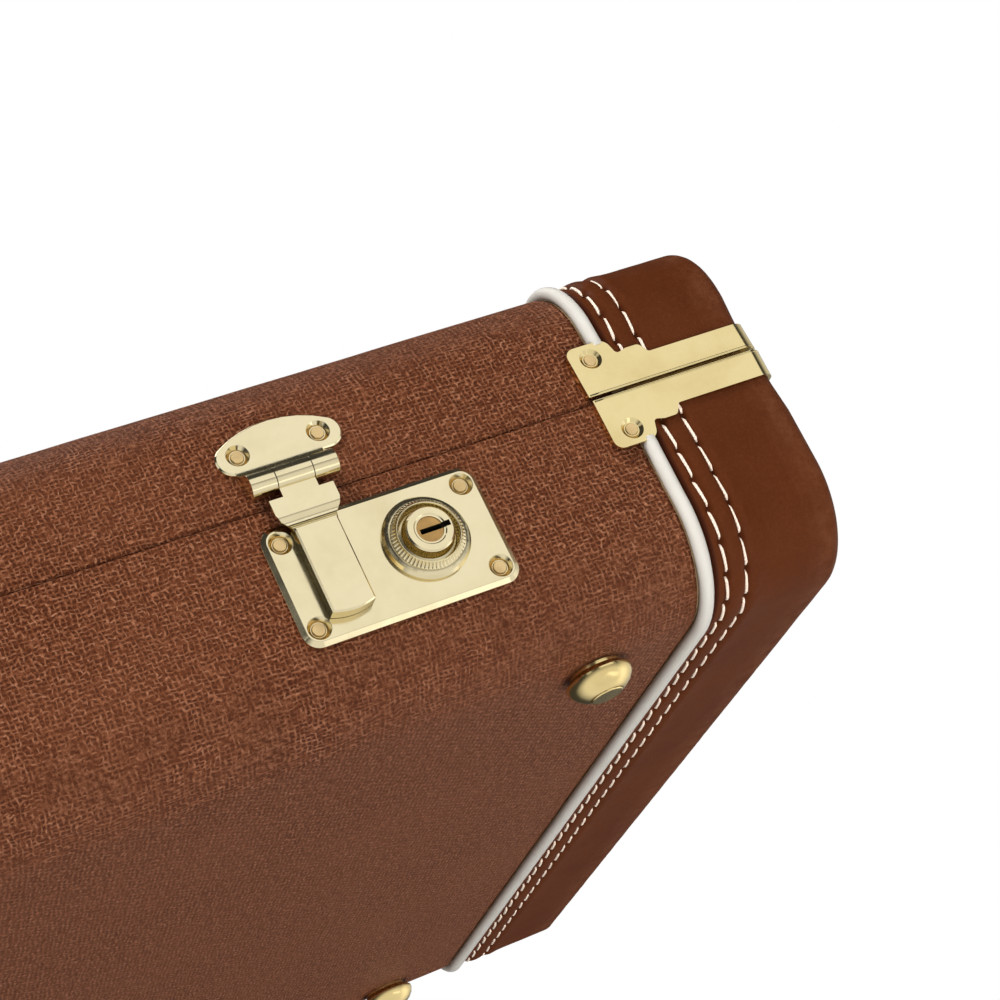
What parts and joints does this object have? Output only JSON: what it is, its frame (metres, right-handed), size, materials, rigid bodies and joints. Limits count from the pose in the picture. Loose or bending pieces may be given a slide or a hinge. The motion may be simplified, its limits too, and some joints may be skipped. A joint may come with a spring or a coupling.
{
  "type": "guitar case",
  "caption": "Rectangular hard case for an electric guitar: hinged lid, hasp latches with a key lock, leather ends, piping, handle, padded interior.",
  "frame": {"origin": "on the ground, under the middle of the whole object's outline seen from above", "axes": "+X along the case towards the end with the key lock, +Y from the latch side to the hinge side, +Z from the base to the lid"},
  "size_m": [1.0672, 0.3941, 0.1137],
  "materials": {
    "vinyl": "coarse embossed cross-weave, satin",
    "leather": "smooth, satin, padded edge with two rows of stitching",
    "piping": "ivory, satin",
    "brass": "polished pale gold plating",
    "plywood": "sanded birch plywood",
    "plush": "short-pile plush, golden brown"
  },
  "bodies": {
    "base": {"base_back_wall": "plywood", "base_cover": "vinyl", "base_end_cap_left": "leather", "base_end_cap_right": "leather", "base_front_wall": "plywood", "base_left_end": "plywood", "base_lining": "plush", "base_lip": "plywood", "base_panel": "plywood", "base_piping_left": "piping", "base_piping_right": "piping", "base_right_end": "plywood", "base_rivets": "brass", "base_valance_left": "brass", "base_valance_right": "brass", "body_pad": "plush", "catch_plate_2": "brass", "catch_plate_3": "brass", "catch_plate_4": "brass", "compartment_walls": "plush", "feet": "brass", "foot_rivets": "brass", "handle_mounts": "brass", "hinge_base_leaves": "brass", "hinge_pins": "brass", "lock_body": "brass", "lock_plate": "brass", "lock_ring": "brass", "neck_cradle": "plush"},
    "lid": {"lid_back_wall": "plywood", "lid_cover": "vinyl", "lid_end_cap_left": "leather", "lid_end_cap_right": "leather", "lid_front_wall": "plywood", "lid_left_end": "plywood", "lid_lining": "plush", "lid_pad": "plush", "lid_panel": "plywood", "lid_piping_left": "piping", "lid_piping_right": "piping", "lid_right_end": "plywood", "lid_rivets": "brass", "lid_valance_left": "brass", "lid_valance_right": "brass", "hasp_leaves": "brass", "hasp_pins": "brass", "hinge_lid_leaves": "brass"},
    "handle": {"handle_grip": "leather", "handle_rings": "brass"},
    "lock_plug": {"lock_plug": "brass", "lock_cam": "brass"},
    "compartment_lid": {"compartment_lid": "plush", "compartment_tab": "leather"},
    "hasp_1": {"hasp_1": "brass"},
    "hasp_2": {"hasp_2": "brass"},
    "hasp_3": {"hasp_3": "brass"},
    "hasp_4": {"hasp_4": "brass"}
  },
  "joints": [
    {"name": "lid_hinge", "type": "hinge", "parent": "base", "child": "lid", "pos_m": [0, 0.19385, 0.0682], "axis": [-1, 0, 0], "range_deg": [0, 105]},
    {"name": "hasp_1_hinge", "type": "hinge", "parent": "lid", "child": "hasp_1", "pos_m": [0.3957, -0.17901, 0.07326], "axis": [-1, 0, 0], "range_deg": [0, 150]},
    {"name": "hasp_2_hinge", "type": "hinge", "parent": "lid", "child": "hasp_2", "pos_m": [0.15, -0.17901, 0.07326], "axis": [-1, 0, 0], "range_deg": [0, 150]},
    {"name": "hasp_3_hinge", "type": "hinge", "parent": "lid", "child": "hasp_3", "pos_m": [-0.15, -0.17901, 0.07326], "axis": [-1, 0, 0], "range_deg": [0, 150]},
    {"name": "hasp_4_hinge", "type": "hinge", "parent": "lid", "child": "hasp_4", "pos_m": [-0.3957, -0.17901, 0.07326], "axis": [-1, 0, 0], "range_deg": [0, 150]},
    {"name": "handle_hinge", "type": "hinge", "parent": "base", "child": "handle", "pos_m": [0, -0.17935, 0.0542], "axis": [-1, 0, 0], "range_deg": [0, 135]},
    {"name": "key_turn", "type": "hinge", "parent": "base", "child": "lock_plug", "pos_m": [0.4215, -0.17475, 0.0465], "axis": [0, -1, 0], "range_deg": [0, 90]},
    {"name": "compartment_lid_hinge", "type": "hinge", "parent": "base", "child": "compartment_lid", "pos_m": [-0.07, 0.1792, 0.04895], "axis": [-1, 0, 0], "range_deg": [0, 28]}
  ]
}
